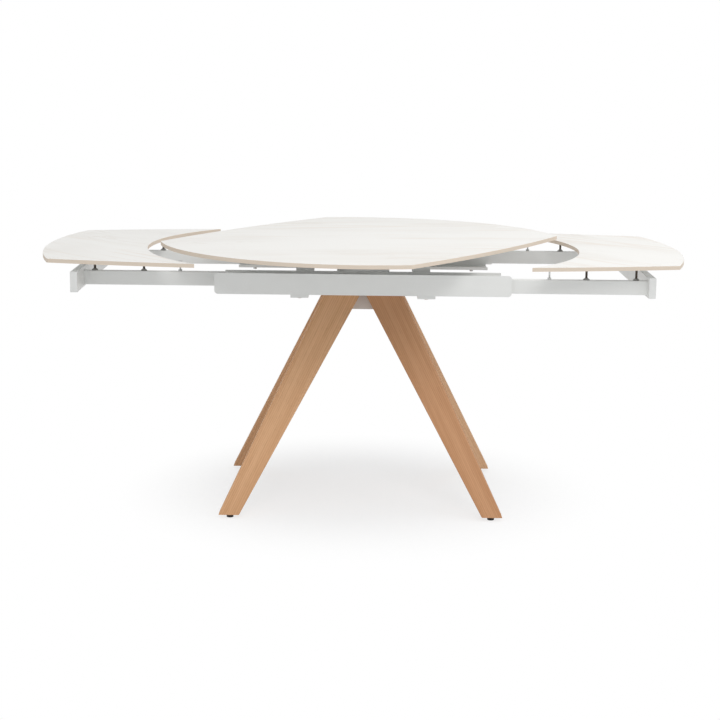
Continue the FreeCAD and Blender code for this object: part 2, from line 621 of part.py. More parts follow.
def make_panel():
    disc = cylinder("panel_disc", "panelRadius", "0", "0", PANEL_UNDER, "topThickness")
    board = doc.addObject("Part::MultiCommon", "panel_board")
    board.Shapes = [disc] + side_discs("panel", PANEL_UNDER)
    holes = [cylinder(f"panel_hole_{i}", PANEL_SCREW_HOLE, x, y, PANEL_UNDER, PANEL_SCREW_DEPTH)
             for i, (x, y) in enumerate(panel_screw_spots())]
    drilled = doc.addObject("Part::Cut", "panel_drilled")
    drilled.Base = board
    drilled.Tool = fuse("panel_holes", holes)
    panel = round_uprights("centre_panel", drilled, "panelCornerRadius",
                           lambda edge: edge.Length > value("topThickness") - 0.01)
    turned_with_panel(panel)


# Turning gear: the panel's plate stands on a tube that turns in the pedestal. The lift pin through the tube
# rides on the pedestal's rim while the panel is turned, and drops into two slots when the panel is in line.
def panel_screw_spots():
    return [(f"{PANEL_SCREW_CIRCLE} * cos({angle})", f"{PANEL_SCREW_CIRCLE} * sin({angle})")
            for angle in range(0, 360, 45)]


def turned_with_panel(item):
    bind(item, "Placement.Rotation.Angle", "panelTurn")


def make_swivel_plate():
    body = new_body("swivel_plate")
    sketch = new_sketch(body, "XY_Plane", "swivel_disc", SWIVEL_UNDER)
    add_circle(sketch, "0", "0", "swivelPlateRadius")
    pad(body, sketch, "swivelPlateThickness")
    doc.recompute()
    drill(body, "XY_Plane", panel_screw_spots(), PANEL_SCREW_HOLE, "swivel_holes")
    turned_with_panel(body)


def make_swivel_tube():
    body = new_body("swivel_tube")
    low = f"({DECK_TOP} + pedestalFlangeHeight)"
    sketch = new_sketch(body, "XY_Plane", "swivel_wall", low)
    add_circle(sketch, "0", "0", "swivelRadius")
    add_circle(sketch, "0", "0", "swivelRadius - swivelWall")
    pad(body, sketch, f"{SWIVEL_UNDER} - {low}")
    doc.recompute()
    drill(body, "YZ_Plane", [("0", PIN_MIDDLE)], "pinRadius", "swivel_pin_hole")
    turned_with_panel(body)


def make_lift_pin():
    body = new_body("lift_pin")
    half = f"({RIM_RADIUS} - pinSetback)"
    sketch = new_sketch(body, "YZ_Plane", "pin_round", signed(-1, half))
    add_circle(sketch, "0", PIN_MIDDLE, "pinRadius")
    pad(body, sketch, f"2 * {half}")
    turned_with_panel(body)


def make_panel_screws():
    bolts("panel_screws", panel_screw_spots(),
          [("panelScrewRadius + panelScrewHeadRim", f"{SWIVEL_UNDER} - panelScrewHeadHeight",
            "panelScrewHeadHeight"),
           ("panelScrewRadius", SWIVEL_UNDER, f"swivelPlateThickness + {PANEL_SCREW_DEPTH}")])
    turned_with_panel(pieces[-1])


def make_pedestal():
    body = new_body("pedestal")
    boss = f"{PEDESTAL_BORE} + pedestalBossWall"
    inside = "pedestalRadius - pedestalWall"
    ceiling = f"{SHOULDER} - pedestalWall"
    flange_top = f"{DECK_TOP} + pedestalFlangeHeight"
    outline = [(boss, DECK_TOP), (boss, ceiling), (inside, ceiling), (inside, DECK_TOP),
               (FLANGE_RADIUS, DECK_TOP), (FLANGE_RADIUS, flange_top), ("pedestalRadius", flange_top),
               ("pedestalRadius", SHOULDER), (RIM_RADIUS, f"{SHOULDER} + pedestalShoulderWidth"),
               (RIM_RADIUS, RIM_TOP), (PEDESTAL_BORE, RIM_TOP), (PEDESTAL_BORE, DECK_TOP)]
    sketch = new_sketch(body, "XZ_Plane", "pedestal_section")
    add_outline(sketch, outline)
    turning = body.newObject("PartDesign::Revolution", "pedestal_turning")
    turning.Profile = sketch
    turning.ReferenceAxis = (sketch, ["V_Axis"])
    turning.Angle = 360
    doc.recompute()
    slot = new_sketch(body, "YZ_Plane", "pin_slot")
    half = "(pinRadius + pinGap)"
    add_outline(slot, rectangle(signed(-1, half), half, f"{RIM_TOP} - panelStep", f"{RIM_TOP} + cutOver"))
    cut = body.newObject("PartDesign::Pocket", "pin_slot_cut")
    cut.Profile = slot
    cut.SideType = "Symmetric"
    bind(cut, "Length", f"2 * {FLANGE_RADIUS}")
    doc.recompute()
    drill(body, "XY_Plane", four_corners(*PEDESTAL_BOLT), PEDESTAL_BOLT_HOLE, "pedestal_holes")


def make_bush():
    height = f"({RIM_TOP} - panelStep - {DECK_TOP})"
    outer = cylinder("bush_outer", PEDESTAL_BORE, "0", "0", DECK_TOP, height)
    inner = cylinder("bush_inner", BUSH_BORE, "0", "0", f"{DECK_TOP} - cutOver", f"{height} + 2 * cutOver")
    bush = doc.addObject("Part::Cut", "bush_cut")
    bush.Base = outer
    bush.Tool = inner
    piece(bush, "pedestal_bush")


def make_deck():
    body = new_body("deck_plate")
    plate = rectangle(signed(-1, DECK_END), DECK_END, signed(-1, PLATE_SIDE), PLATE_SIDE)
    extrude(body, "XY_Plane", [plate], BEARER_TOP, "deckThickness", "deck_sheet")
    doc.recompute()
    drill(body, "XY_Plane", four_corners(DECK_BOLT_X, BEARER_Y), BOLT_HOLE, "deck_holes")
    doc.recompute()
    drill(body, "XY_Plane", four_corners(*PEDESTAL_BOLT), PEDESTAL_BOLT_HOLE, "deck_pedestal_holes")


def make_frame_bolts():
    nut_low = f"({BEARER_TOP} - nutHeight)"
    leg_spots = [spot for x in leg_bolt_rows() for spot in four_corners(x, LEG_BOLT_Y)]
    bolts("leg_bolts", leg_spots,
          [("boltRadius", f"{LEG_TOP} - legBoltDepth", "legBoltDepth + hubPlateThickness"),
           (BOLT_HEAD, HUB_TOP, "boltHeadHeight")])
    bolts("hub_bolts", four_corners(HUB_BOLT_X, BEARER_Y),
          [(BOLT_HEAD, f"{LEG_TOP} - boltHeadHeight", "boltHeadHeight"),
           ("boltRadius", LEG_TOP, "hubPlateThickness + tubeWall + boltEnd")])
    from_above = (("bearer_bolts", "crossX", "crossHeight"), ("deck_bolts", DECK_BOLT_X, "deckThickness"))
    for name, x, plate in from_above:
        bolts(name, four_corners(x, BEARER_Y),
              [(BOLT_HEAD, f"{BEARER_TOP} + {plate}", "boltHeadHeight"),
               ("boltRadius", f"{BEARER_TOP} - tubeWall - boltEnd", f"{plate} + tubeWall + boltEnd")])
    bolts("cross_member_bolts", four_corners("crossX", CROSS_BOLT_Y),
          [(BOLT_HEAD, f"{BEARER_TOP} - boltHeadHeight", "boltHeadHeight"),
           ("boltRadius", BEARER_TOP, "crossHeight + sheetThickness"),
           (BOLT_HEAD, TROUGH_FLOOR, "nutHeight")])
    bolts("pedestal_bolts", four_corners(*PEDESTAL_BOLT),
          [(PEDESTAL_BOLT_HEAD, f"{DECK_TOP} + pedestalFlangeHeight", "boltHeadHeight"),
           ("pedestalBoltRadius", nut_low, "nutHeight + deckThickness + pedestalFlangeHeight"),
           (PEDESTAL_BOLT_HEAD, nut_low, "nutHeight")])
    bolts("shoe_bolts", shoe_bolt_spots(-1) + shoe_bolt_spots(1),
          [("shoeBoltRadius + shoeBoltHeadRim", f"{FRAME_BOTTOM} - shoeBoltHeadHeight",
            "shoeBoltHeadHeight"),
           ("shoeBoltRadius", FRAME_BOTTOM, "sheetThickness + shoeBoltDepth")])


for across, sx in (("left", -1), ("right", 1)):
    for depth, sy in (("front", -1), ("rear", 1)):
        make_leg(f"{depth}_{across}_leg", sx, sy)
        make_foot(f"{depth}_{across}_foot", sx, sy)
        make_post(f"{depth}_{across}_post", sx, sy)
        rail_line = OUTER_RAIL if sx > 0 else INNER_RAIL
        wall_line = MID_WALL if sx > 0 else INNER_WALL
        make_rail(f"{across}_{depth}_rail", sx, sy, rail_line)
        make_shoes(f"{across}_{depth}_shoes", sx, sy, wall_line, rail_line)
    make_cross_member(f"{across}_cross_member", sx)
    make_beam(f"{across}_end_beam", sx)
    make_beam_plugs(f"{across}_beam_plugs", sx)
    make_levelling_feet(f"{across}_levelling_feet", sx, rail_line)
    make_panel_rests(f"{across}_panel_rests", sx, rail_line)
    make_leaf(f"{across}_leaf", sx)
for depth, sy in (("front", -1), ("rear", 1)):
    make_bearer(f"{depth}_bearer", sy)
    make_housing(f"{depth}_housing", sy)
make_leg_hub()
make_deck()
make_pedestal()
make_bush()
make_panel()
make_swivel_plate()
make_swivel_tube()
make_lift_pin()
make_panel_screws()
make_frame_bolts()
doc.recompute()

failed = [item.Name for item in doc.Objects if "Invalid" in item.State or "Error" in item.State]
failed += [item.Label for item in pieces if item.Shape.isNull() or not item.Shape.isValid()]
if failed:
    raise RuntimeError("not built: " + ", ".join(failed))
os.makedirs("parts", exist_ok=True)
for item in pieces:
    item.Shape.exportStep(f"parts/{item.Label}.step")
print(len(pieces), "pieces written")
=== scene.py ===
import json
import math

import bmesh
import bpy
from mathutils import Matrix, Vector


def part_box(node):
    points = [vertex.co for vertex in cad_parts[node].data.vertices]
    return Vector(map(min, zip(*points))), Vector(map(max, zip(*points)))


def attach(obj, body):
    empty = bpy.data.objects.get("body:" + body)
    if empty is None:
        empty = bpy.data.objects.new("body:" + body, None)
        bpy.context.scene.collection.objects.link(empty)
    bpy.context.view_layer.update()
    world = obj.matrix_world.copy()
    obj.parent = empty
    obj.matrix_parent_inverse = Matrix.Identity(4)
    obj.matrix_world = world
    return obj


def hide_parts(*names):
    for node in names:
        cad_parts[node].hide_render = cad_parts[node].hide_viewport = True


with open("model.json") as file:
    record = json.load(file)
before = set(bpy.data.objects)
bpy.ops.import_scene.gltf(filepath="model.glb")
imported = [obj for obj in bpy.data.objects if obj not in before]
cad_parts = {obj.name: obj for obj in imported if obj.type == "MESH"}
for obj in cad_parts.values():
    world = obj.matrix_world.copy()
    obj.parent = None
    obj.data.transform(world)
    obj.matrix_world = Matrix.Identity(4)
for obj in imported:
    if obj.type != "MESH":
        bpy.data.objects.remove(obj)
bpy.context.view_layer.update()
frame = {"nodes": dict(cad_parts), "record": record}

nodes = frame["nodes"]
record = frame["record"]
bodyOf = {node: body for body, group in record["behaviour"]["bodies"].items() for node in group}
slotOf = {row["node"]: row["material_slot"] for row in record["subparts"]}
scene = bpy.context.scene
print("frame loaded,", len(nodes), "nodes")


class Wire:  # a node's output that takes part in sums
    def __init__(self, finish, socket):
        self.finish = finish
        self.socket = socket

    def combine(self, operation, first, second=0.0):
        return self.finish.add("ShaderNodeMath", {"operation": operation}, {0: first, 1: second})

    def __add__(self, other):
        return self.combine("ADD", self, other)

    def __radd__(self, other):
        return self.combine("ADD", other, self)

    def __sub__(self, other):
        return self.combine("SUBTRACT", self, other)

    def __rsub__(self, other):
        return self.combine("SUBTRACT", other, self)

    def __mul__(self, other):
        return self.combine("MULTIPLY", self, other)

    def __rmul__(self, other):
        return self.combine("MULTIPLY", other, self)

    def __abs__(self):
        return self.combine("ABSOLUTE", self)

    def rise(self, low, high):  # 0 below low, 1 above high, smooth between
        limits = {"Value": self, "From Min": low, "From Max": high}
        return self.finish.add("ShaderNodeMapRange", {"interpolation_type": "SMOOTHSTEP"}, limits)

    def band(self, middle, sharpness):  # 1 at the middle value, falling to 0 on both sides
        return (1 - abs(self - middle) * sharpness).rise(0.0, 1.0)


class Finish:  # the nodes of a material, or of the world
    def __init__(self, owner):
        owner.use_nodes = True
        self.owner = owner
        self.tree = owner.node_tree

    def add(self, kind, settings=None, inputs=None, out=0):
        node = self.tree.nodes.new(kind)
        for key, value in (settings or {}).items():
            setattr(node, key, value)
        for key, value in (inputs or {}).items():
            self.plug(node.inputs[key], value)
        return Wire(self, node.outputs[out])

    def plug(self, socket, value):
        if isinstance(value, Wire):
            self.tree.links.new(value.socket, socket)
        else:
            socket.default_value = value

    def coords(self, turn=(0, 0, 0), shift=(0, 0, 0)):
        values = {"Vector": self.add("ShaderNodeTexCoord", out="Object"), "Rotation": turn, "Location": shift}
        return self.add("ShaderNodeMapping", None, values)

    def stretch(self, where, scale):
        return self.add("ShaderNodeMapping", None, {"Vector": where, "Scale": scale})

    def noise(self, where, scale, detail=4, roughness=0.55, distortion=0.0, stretch=None):
        if stretch:
            where = self.stretch(where, stretch)
        values = {"Vector": where, "Scale": scale, "Detail": detail, "Roughness": roughness,
                  "Distortion": distortion}
        return self.add("ShaderNodeTexNoise", None, values)

    def blend(self, share, first, second):
        return self.add("ShaderNodeMix", {"data_type": "RGBA"}, {0: share, 6: first, 7: second}, 2)

    def bump(self, height, strength, distance):
        values = {"Height": height, "Strength": strength, "Distance": distance}
        return self.add("ShaderNodeBump", None, values)

    def paint(self, colour, roughness, normal=None, metallic=0.0, specular=0.5):
        values = {"Base Color": colour, "Roughness": roughness, "Metallic": metallic,
                  "Specular IOR Level": specular}
        if normal:
            values["Normal"] = normal
        surface = self.tree.nodes["Principled BSDF"]
        for key, value in values.items():
            self.plug(surface.inputs[key], value)
        return self.owner


def newFinish(name):
    return Finish(bpy.data.materials.new(name))


def shade(red, green, blue):
    return (red, green, blue, 1.0)


white = shade(1, 1, 1)


# camera, as the photo was taken
view = {
    "place": (0.0, -4.947, 1.3606),
    "pitch": 0.18956,  # radians, as are yaw and roll
    "yaw": -0.00131,
    "roll": 0.0114,
    "focalPixels": 1674.4,
    "imagePixels": 720,
    "sensor": 36.0,
}


def addCamera():
    lens = bpy.data.cameras.new("photoView")
    lens.sensor_width = view["sensor"]
    lens.lens = view["focalPixels"] / view["imagePixels"] * view["sensor"]
    pitch, yaw, roll = view["pitch"], view["yaw"], view["roll"]
    forward = Vector((math.sin(yaw) * math.cos(pitch), math.cos(yaw) * math.cos(pitch), -math.sin(pitch)))
    level = Vector((math.cos(yaw), -math.sin(yaw), 0))
    right = level * math.cos(roll) + level.cross(forward) * math.sin(roll)
    turn = Matrix((right, right.cross(forward), -forward)).transposed()
    eye = bpy.data.objects.new("photoView", lens)
    eye.matrix_world = Matrix.Translation(view["place"]) @ turn.to_4x4()
    scene.collection.objects.link(eye)
    scene.camera = eye


# studio: pale floor, even surround, a soft box above on the right and one high in front
studio = {
    "floorHalf": 30.0,
    "floorColour": shade(0.908, 0.918, 0.931),
    "floorGlow": 0.60,  # white share of the floor as it is seen under the table; lower there, so the round darker patch is painted shadow as well as the floor's own shadow
    "glowShift": (0.0, -0.03, 0.0),  # sets the middle of the darker patch, which is painted shadow as well as real shadow
    "glowFrom": 0.25,  # distances from there over which the floor turns all white
    "glowFull": 0.77,
    "surround": 0.62,
    "boxes": {
        "overheadBox": {"place": (1.9, -0.3, 3.3), "aim": (0.2, 0.0, 0.7), "size": 3.0, "power": 36.0},
        "frontBox": {"place": (0.4, -3.6, 4.0), "aim": (0.0, 0.0, 0.5), "size": 2.0, "power": 50.0},
    },
}


def seenDirectly(finish):  # 1 for camera, glossy and transmission rays
    path = finish.add("ShaderNodeLightPath", out="Is Camera Ray")
    rays = path.socket.node.outputs
    return path + Wire(finish, rays["Is Glossy Ray"]) + Wire(finish, rays["Is Transmission Ray"])


def addFloor():
    shape = bmesh.new()
    bmesh.ops.create_grid(shape, x_segments=1, y_segments=1, size=studio["floorHalf"])
    mesh = bpy.data.meshes.new("floor")
    shape.to_mesh(mesh)
    shape.free()
    floor = bpy.data.objects.new("floor", mesh)
    scene.collection.objects.link(floor)
    finish = newFinish("paleFloor")
    mesh.materials.append(finish.paint(studio["floorColour"], 1.0, specular=0.0))
    where = finish.coords(shift=studio["glowShift"])
    away = finish.add("ShaderNodeVectorMath", {"operation": "LENGTH"}, {0: where}, "Value")
    least = studio["floorGlow"]
    # painted shadow: the white share falls towards the table, darkening a round patch beneath it on top of
    # its real shadow
    glow = least + (1 - least) * away.rise(studio["glowFrom"], studio["glowFull"])
    bright = finish.add("ShaderNodeEmission", None, {"Color": white, "Strength": 1.0})
    matte = Wire(finish, finish.tree.nodes["Principled BSDF"].outputs[0])
    both = finish.add("ShaderNodeMixShader", None, {0: seenDirectly(finish) * glow, 1: matte, 2: bright})
    finish.plug(finish.tree.nodes["Material Output"].inputs["Surface"], both)


def addSurround():
    scene.world = bpy.data.worlds.new("surround")
    finish = Finish(scene.world)
    dim = finish.tree.nodes["Background"]
    finish.plug(dim.inputs["Color"], white)
    finish.plug(dim.inputs["Strength"], studio["surround"])
    bright = finish.add("ShaderNodeBackground", None, {"Color": white, "Strength": 1.0})
    parts = {0: seenDirectly(finish), 1: Wire(finish, dim.outputs[0]), 2: bright}
    both = finish.add("ShaderNodeMixShader", None, parts)
    finish.plug(finish.tree.nodes["World Output"].inputs["Surface"], both)


def addBoxes():
    for name, box in studio["boxes"].items():
        lamp = bpy.data.lights.new(name, "AREA")
        lamp.shape = "SQUARE"
        lamp.size = box["size"]
        lamp.energy = box["power"]
        stand = bpy.data.objects.new(name, lamp)
        stand.location = box["place"]
        stand.rotation_euler = (Vector(box["aim"]) - stand.location).to_track_quat("-Z", "Y").to_euler()
        scene.collection.objects.link(stand)


addCamera()
addFloor()
addSurround()
addBoxes()
scene.view_settings.view_transform = "Standard"
print("camera and studio ready")


# marble print: soft clouds, wide and fine veins, and long warm streaks along the turned X axis
marble = {
    "face": shade(0.87, 0.861, 0.831),
    "cloud": shade(0.82, 0.805, 0.770),
    "vein": shade(0.63, 0.56, 0.475),
    "streak": shade(0.72, 0.60, 0.49),
    "clouds": {"stretch": (1.1, 3.4, 1), "scale": 1.7, "detail": 5, "roughness": 0.58, "distortion": 0.5},
    "patches": {"stretch": (0.8, 1.7, 1), "scale": 2.1, "detail": 2, "roughness": 0.5},
    "wide": {"stretch": (0.55, 3.1, 1), "scale": 1.5, "detail": 6, "roughness": 0.55, "distortion": 0.7},
    "fine": {"stretch": (0.8, 5.2, 1), "scale": 2.2, "detail": 7, "roughness": 0.6, "distortion": 1.1},
    "long": {"stretch": (0.32, 6.4, 1), "scale": 2.6, "detail": 3, "roughness": 0.5, "distortion": 0.3},
    "grain": {"scale": 900, "detail": 2},
    "cloudRange": (0.42, 0.70),
    "haloRange": (0.45, 0.62),  # of the patches, where veins show
    "lineRange": (0.5, 0.68),
    "streakRange": (0.47, 0.62),  # of the wide veins, where streaks show
    "haloBand": {"middle": 0.5, "sharpness": 9},
    "lineBand": {"middle": 0.5, "sharpness": 34},
    "streakBand": {"middle": 0.52, "sharpness": 22},
    "cloudShare": 0.5,
    "haloShare": 0.16,
    "lineShare": 0.28,
    "streakShare": 0.35,
    "roughness": 0.38,
    "cloudRougher": 0.06,
    "grainRougher": 0.05,
    "relief": {"strength": 0.04, "distance": 0.0002},
}


def marbleFace(name, turn):
    finish = newFinish(name)
    flat = finish.coords(turn=(0, 0, -turn))
    kinds = ("clouds", "patches", "wide", "fine", "long", "grain")
    clouds, patches, wide, fine, long, grain = [finish.noise(flat, **marble[kind]) for kind in kinds]
    halo = wide.band(**marble["haloBand"]) * patches.rise(*marble["haloRange"])
    line = fine.band(**marble["lineBand"]) * patches.rise(*marble["lineRange"])
    streak = long.band(**marble["streakBand"]) * wide.rise(*marble["streakRange"])
    cloudy = clouds.rise(*marble["cloudRange"]) * marble["cloudShare"]
    clouded = finish.blend(cloudy, marble["face"], marble["cloud"])
    veined = finish.blend(halo * marble["haloShare"] + line * marble["lineShare"], clouded, marble["vein"])
    streaked = finish.blend(streak * marble["streakShare"], veined, marble["streak"])
    roughness = marble["roughness"] + clouds * marble["cloudRougher"] + grain * marble["grainRougher"]
    return finish.paint(streaked, roughness, finish.bump(grain, **marble["relief"]))


# the boards' tan edge and pale underside: a fine speckle over a broad drift of tone
boards = {
    "tanEdge": {
        "colour": shade(0.745, 0.64, 0.53),
        "tint": shade(0.68, 0.575, 0.465),
        "speckle": {"scale": 520, "detail": 3, "roughness": 0.6},
        "drift": {"scale": 9, "detail": 3},
        "speckleRange": (0.5, 0.75),
        "driftRange": (0.4, 0.7),
        "speckleShare": 0.5,
        "driftShare": 0.15,
        "roughness": 0.52,
        "rougher": 0.16,
        "relief": {"strength": 0.12, "distance": 0.0003},
    },
    "paleBacking": {
        "colour": shade(0.80, 0.80, 0.78),
        "tint": shade(0.75, 0.75, 0.73),
        "speckle": {"scale": 760, "detail": 2, "roughness": 0.5},
        "drift": {"scale": 26, "detail": 4, "roughness": 0.6},
        "speckleRange": (0.5, 0.8),
        "driftRange": (0.42, 0.68),
        "speckleShare": 0.25,
        "driftShare": 0.6,
        "roughness": 0.58,
        "rougher": 0.14,
        "relief": {"strength": 0.10, "distance": 0.0003},
    },
}


def boardFinish(name):
    board = boards[name]
    finish = newFinish(name)
    where = finish.coords()
    speckle = finish.noise(where, **board["speckle"])
    drift = finish.noise(where, **board["drift"])
    share = speckle.rise(*board["speckleRange"]) * board["speckleShare"]
    share = share + drift.rise(*board["driftRange"]) * board["driftShare"]
    mottled = finish.blend(share, board["colour"], board["tint"])
    roughness = board["roughness"] + speckle * board["rougher"]
    return finish.paint(mottled, roughness, finish.bump(speckle, **board["relief"]))


# oak: growth rings, broad bands, streaks and fibres along the board, with dark pores
oak = {
    "pale": shade(0.735, 0.44, 0.235),
    "warm": shade(0.62, 0.345, 0.170),
    "pore": shade(0.40, 0.20, 0.095),
    "heart": Vector((0.09, 0.14, 0.0)),  # middle of the growth rings, beside the board
    "ringStretch": (1, 1, 0.06),
    "rings": {"Scale": 64.0, "Distortion": 5.0, "Detail": 3.0, "Detail Scale": 0.35, "Detail Roughness": 0.6},
    "broad": {"stretch": (26, 26, 0.8), "scale": 1.3, "detail": 3, "roughness": 0.5},
    "streak": {"stretch": (110, 110, 1.6), "scale": 1.4, "detail": 4, "roughness": 0.6},
    "fibre": {"stretch": (420, 420, 5), "scale": 1.6, "detail": 4, "roughness": 0.65},
    "pores": {"stretch": (700, 700, 16), "scale": 1.5, "detail": 2, "roughness": 0.5},
    "poreRange": (0.60, 0.72),
    "toneRange": (0.42, 0.67),  # from pale to warm wood
    "toneShares": {"broad": 0.35, "streak": 0.4, "fibre": 0.25, "growth": 0.1},
    "poreShare": 0.26,
    "poreInRings": 0.22,  # added where a growth ring is dark
    "roughness": 0.56,
    "fibreRougher": 0.14,
    "poreRougher": 0.1,
    "specular": 0.22,
    "fibreHeight": 0.5,
    "poreDepth": 0.6,
    "relief": {"strength": 0.14, "distance": 0.0006},
}


def tinted(colour, tint):
    return shade(*[value * share for value, share in zip(colour, tint)])


def oakBoard(name, axis, offset, tint):
    finish = newFinish(name)
    # tint scales the wood's colours; for the rear right leg it carries painted light as well as board tone
    pale, warm, dark = [tinted(oak[key], tint) for key in ("pale", "warm", "pore")]
    side = axis.cross(Vector((1, 0, 0))).normalized()
    turn = Matrix((side.cross(axis), side, axis)).to_euler()
    along = finish.coords(turn=turn, shift=oak["heart"] + offset)
    values = {"Vector": finish.stretch(along, oak["ringStretch"]), **oak["rings"]}
    growth = finish.add("ShaderNodeTexWave", {"wave_type": "RINGS", "rings_direction": "Z"}, values, 1)
    kinds = ("broad", "streak", "fibre", "pores")
    broad, streak, fibre, spots = [finish.noise(along, **oak[kind]) for kind in kinds]
    pore = spots.rise(*oak["poreRange"])
    shares = oak["toneShares"]
    tone = broad * shares["broad"] + streak * shares["streak"]
    tone = tone + fibre * shares["fibre"] + growth * shares["growth"]
    wood = finish.blend(tone.rise(*oak["toneRange"]), pale, warm)
    pored = finish.blend(pore * (oak["poreShare"] + growth * oak["poreInRings"]), wood, dark)
    relief = finish.bump(fibre * oak["fibreHeight"] - pore * oak["poreDepth"], **oak["relief"])
    roughness = oak["roughness"] + fibre * oak["fibreRougher"] + pore * oak["poreRougher"]
    return finish.paint(pored, roughness, relief, specular=oak["specular"])


# powder coat: fine orange peel over a slow drift of tone
powder = {
    "whitePowder": {"colour": shade(0.80, 0.805, 0.785), "tint": shade(0.765, 0.77, 0.75)},
    "blackPowder": {"colour": shade(0.035, 0.035, 0.036), "tint": shade(0.05, 0.05, 0.052)},
    "peel": {"scale": 640, "detail": 2, "roughness": 0.5},
    "drift": {"scale": 7, "detail": 4, "roughness": 0.6},
    "driftRange": (0.45, 0.75),
    "driftShare": 0.6,
    "roughness": 0.29,
    "driftRougher": 0.08,
    "peelRougher": 0.05,
    "relief": {"strength": 0.07, "distance": 0.0004},
}


def powderCoat(name):
    finish = newFinish(name)
    where = finish.coords()
    peel = finish.noise(where, **powder["peel"])
    drift = finish.noise(where, **powder["drift"])
    share = drift.rise(*powder["driftRange"]) * powder["driftShare"]
    coat = finish.blend(share, powder[name]["colour"], powder[name]["tint"])
    roughness = powder["roughness"] + drift * powder["driftRougher"] + peel * powder["peelRougher"]
    return finish.paint(coat, roughness, finish.bump(peel, **powder["relief"]))


# bare metal: cloudy bloom and fine turning lines
metal = {
    "zincSteel": {"colour": shade(0.60, 0.61, 0.62), "tint": shade(0.50, 0.50, 0.47), "roughness": 0.28},
    "blackenedSteel": {"colour": shade(0.12, 0.095, 0.08), "tint": shade(0.07, 0.055, 0.045),
                       "roughness": 0.34},
    "coneZinc": {"colour": shade(0.36, 0.355, 0.34), "tint": shade(0.28, 0.275, 0.26), "roughness": 0.36},
    "bloom": {"scale": 130, "detail": 4, "roughness": 0.6},
    "lines": {"stretch": (300, 300, 2600), "scale": 1, "detail": 2},
    "bloomRange": (0.4, 0.7),
    "rougher": 0.16,
    "relief": {"strength": 0.08, "distance": 0.0002},
}


def bareMetal(name):
    finish = newFinish(name)
    where = finish.coords()
    bloom = finish.noise(where, **metal["bloom"])
    lines = finish.noise(where, **metal["lines"])
    film = finish.blend(bloom.rise(*metal["bloomRange"]), metal[name]["colour"], metal[name]["tint"])
    roughness = metal[name]["roughness"] + bloom * metal["rougher"]
    return finish.paint(film, roughness, finish.bump(lines, **metal["relief"]), metallic=1.0)


# moulded rubber and plastics: pebbled skin
moulding = {
    "blackRubber": {"colour": shade(0.018, 0.018, 0.018), "tint": shade(0.03, 0.03, 0.03), "roughness": 0.62,
                    "skinScale": 700},
    "glideNylon": {"colour": shade(0.76, 0.755, 0.72), "tint": shade(0.70, 0.695, 0.66), "roughness": 0.42,
                   "skinScale": 900},
    "plugPlastic": {"colour": shade(0.79, 0.795, 0.78), "tint": shade(0.74, 0.745, 0.73), "roughness": 0.4,
                    "skinScale": 800},
    "skin": {"detail": 3, "roughness": 0.6},
    "drift": {"scale": 22, "detail": 3},
    "driftRange": (0.4, 0.7),
    "rougher": 0.14,
    "relief": {"strength": 0.15, "distance": 0.0004},
}


def moulded(name):
    kind = moulding[name]
    finish = newFinish(name)
    where = finish.coords()
    skin = finish.noise(where, kind["skinScale"], **moulding["skin"])
    drift = finish.noise(where, **moulding["drift"])
    tone = finish.blend(drift.rise(*moulding["driftRange"]), kind["colour"], kind["tint"])
    roughness = kind["roughness"] + skin * moulding["rougher"]
    return finish.paint(tone, roughness, finish.bump(skin, **moulding["relief"]))


looks = {  # legs and tops have finishes of their own
    "white_frame": powderCoat("whitePowder"),
    "dark_frame": powderCoat("blackPowder"),
    "zinc_steel": bareMetal("zincSteel"),
    "dark_steel": bareMetal("blackenedSteel"),
    "black_rubber": moulded("blackRubber"),
    "glide_plastic": moulded("glideNylon"),
    "white_plastic": moulded("plugPlastic"),
}
coneZinc = bareMetal("coneZinc")
edgeBand = boardFinish("tanEdge")
underside = boardFinish("paleBacking")
print("finishes ready")


# meshes of all pieces, with angles in degrees
meshing = {
    "weld": 0.00001,
    "poleWeld": 0.000005,
    "flat": 0.3,  # faces that meet at less than this are joined
    "crease": 38,  # shaded as a sharp edge from here on
    "steep": 25,  # rounded as a corner from here on
    "segments": 2,  # of every small rounding
    "steps": 28,  # round a turned form, where it has no number of its own
}


def camel(node):
    first, *rest = node.split("_")
    return first + "".join(word.title() for word in rest)


def joinFlat(shape):
    flat = math.radians(meshing["flat"])
    bmesh.ops.dissolve_limit(shape, angle_limit=flat, verts=shape.verts, edges=shape.edges)


def merged(node):
    shape = bmesh.new()
    shape.from_mesh(nodes[node].data)
    bmesh.ops.remove_doubles(shape, verts=shape.verts, dist=meshing["weld"])
    joinFlat(shape)
    return shape


def soften(shape, edges, width, segments=meshing["segments"]):
    bmesh.ops.bevel(shape, geom=edges, offset=width, offset_type="OFFSET", segments=segments, profile=0.5,
                    affect="EDGES", clamp_overlap=True, material=-1)
    bmesh.ops.dissolve_degenerate(shape, dist=meshing["weld"], edges=shape.edges)


def addPiece(shape, node, materials=None):
    crease = math.radians(meshing["crease"])
    for face in shape.faces:
        face.smooth = True
    for edge in shape.edges:
        edge.smooth = edge.is_manifold and edge.calc_face_angle() < crease
    mesh = bpy.data.meshes.new(camel(node))
    shape.to_mesh(mesh)
    shape.free()
    for material in materials or [looks[slotOf[node]]]:
        mesh.materials.append(material)
    piece = bpy.data.objects.new(camel(node), mesh)
    scene.collection.objects.link(piece)
    even = piece.modifiers.new("evenShading", "WEIGHTED_NORMAL")
    even.keep_sharp = True
    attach(piece, bodyOf[node])
    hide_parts(node)


def corners(shape, steep=meshing["steep"], shortest=0.0):
    return [edge for edge in shape.edges if edge.is_manifold and edge.calc_length() > shortest
            and edge.calc_face_angle() > math.radians(steep)]


def boxOf(node):
    return [Vector(corner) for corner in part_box(node)]


def islands(node):  # separate solids of a node, each as a list of its points
    shape = merged(node)
    done = set()
    groups = []
    for first in shape.verts:
        if first in done:
            continue
        done.add(first)
        group = [first]
        for vert in group:
            for other in (edge.other_vert(vert) for edge in vert.link_edges):
                if other not in done:
                    done.add(other)
                    group.append(other)
        groups.append([vert.co.copy() for vert in group])
    shape.free()
    return groups


